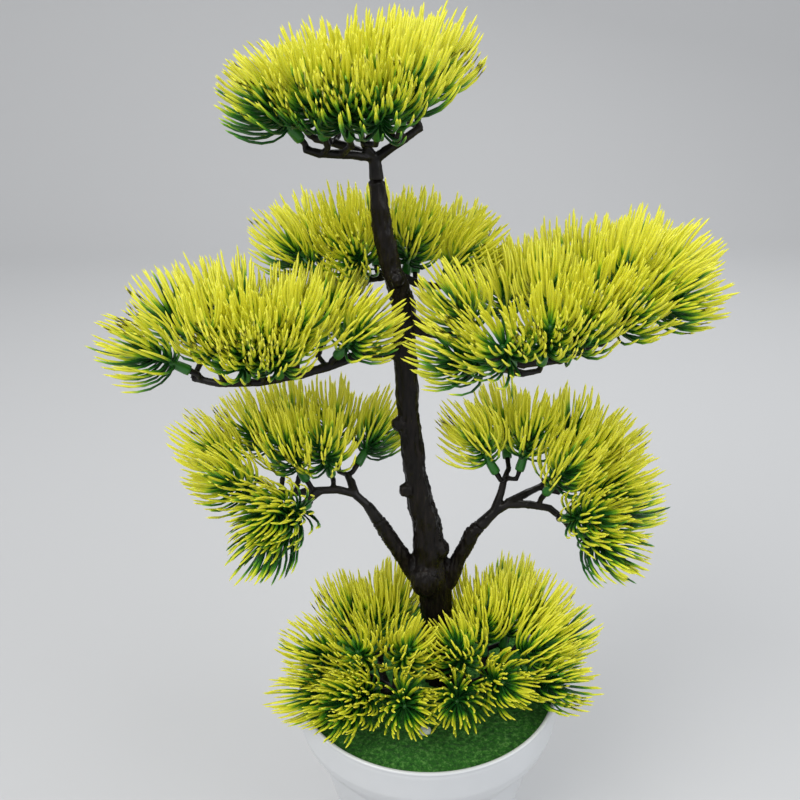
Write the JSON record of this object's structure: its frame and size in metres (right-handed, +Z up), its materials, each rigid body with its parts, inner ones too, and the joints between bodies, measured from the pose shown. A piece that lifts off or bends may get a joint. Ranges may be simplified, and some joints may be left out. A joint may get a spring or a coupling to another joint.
{
  "type": "artificial tabletop tree",
  "caption": "Small artificial bonsai-style tree in a round pot: moulded trunk, plug-on branch sprays that swivel on their pegs, and bottle-brush needle heads over a grass mat.",
  "frame": {"origin": "centre of the pot's flat underside, which stands on the table", "axes": "+Z up along the tree, -Y towards the front of the tree, +X to its right"},
  "size_m": [0.2686, 0.146, 0.4296],
  "materials": {
    "pot_white": "satin",
    "filler_grey": "matte",
    "mat_green": "matte",
    "glue_white": "matte",
    "trunk_brown": "satin",
    "spray_black": "satin",
    "needle_green": "satin"
  },
  "bodies": {
    "planter": {"filler": "filler_grey", "glue_blob": "glue_white", "grass_mat": "mat_green", "head_ground_left_1": "needle_green", "head_ground_left_2": "needle_green", "head_ground_left_3": "needle_green", "head_ground_left_4": "needle_green", "head_ground_left_5": "needle_green", "head_ground_right_1": "needle_green", "head_ground_right_2": "needle_green", "head_ground_right_3": "needle_green", "pot": "pot_white", "spray_ground_left": "spray_black", "spray_ground_right": "spray_black", "trunk": "trunk_brown"},
    "top_spray": {"head_top_1": "needle_green", "head_top_2": "needle_green", "head_top_3": "needle_green", "head_top_4": "needle_green", "head_top_5": "needle_green", "head_top_6": "needle_green", "head_top_7": "needle_green", "spray_top": "spray_black"},
    "midback_spray": {"head_midback_1": "needle_green", "head_midback_2": "needle_green", "head_midback_3": "needle_green", "head_midback_4": "needle_green", "head_midback_5": "needle_green", "head_midback_6": "needle_green", "spray_midback": "spray_black"},
    "upleft_spray": {"head_upleft_1": "needle_green", "head_upleft_2": "needle_green", "head_upleft_3": "needle_green", "head_upleft_4": "needle_green", "head_upleft_5": "needle_green", "head_upleft_6": "needle_green", "spray_upleft": "spray_black"},
    "upright_spray": {"head_upright_1": "needle_green", "head_upright_2": "needle_green", "head_upright_3": "needle_green", "head_upright_4": "needle_green", "head_upright_5": "needle_green", "head_upright_6": "needle_green", "head_upright_7": "needle_green", "head_upright_8": "needle_green", "spray_upright": "spray_black"},
    "lowleft_spray": {"head_lowleft_1": "needle_green", "head_lowleft_2": "needle_green", "head_lowleft_3": "needle_green", "head_lowleft_4": "needle_green", "head_lowleft_5": "needle_green", "head_lowleft_6": "needle_green", "spray_lowleft": "spray_black"},
    "lowright_spray": {"head_lowright_1": "needle_green", "head_lowright_2": "needle_green", "head_lowright_3": "needle_green", "head_lowright_4": "needle_green", "head_lowright_5": "needle_green", "head_lowright_6": "needle_green", "spray_lowright": "spray_black"}
  },
  "joints": [
    {"name": "top_swivel", "type": "hinge", "parent": "planter", "child": "top_spray", "pos_m": [-0.021, 0.002, 0.367], "axis": [-0.0599, 0, 0.9982], "continuous": true},
    {"name": "midback_swivel", "type": "hinge", "parent": "planter", "child": "midback_spray", "pos_m": [-0.014, 0.014, 0.321], "axis": [0, 0.995, -0.0995], "range_deg": [-20, 20]},
    {"name": "upleft_swivel", "type": "hinge", "parent": "planter", "child": "upleft_spray", "pos_m": [-0.02, 0, 0.29], "axis": [-0.9701, -0.2425, 0], "range_deg": [-20, 20]},
    {"name": "upright_swivel", "type": "hinge", "parent": "planter", "child": "upright_spray", "pos_m": [0.001, -0.002, 0.301], "axis": [0.9275, -0.3246, -0.1855], "range_deg": [-20, 20]},
    {"name": "lowleft_swivel", "type": "hinge", "parent": "planter", "child": "lowleft_spray", "pos_m": [-0.024, 0, 0.201], "axis": [-0.4612, -0.1025, 0.8814], "range_deg": [-15, 20]},
    {"name": "lowright_swivel", "type": "hinge", "parent": "planter", "child": "lowright_spray", "pos_m": [0.027, 0.002, 0.196], "axis": [0.6363, -0.0513, 0.7697], "range_deg": [-20, 20]}
  ]
}
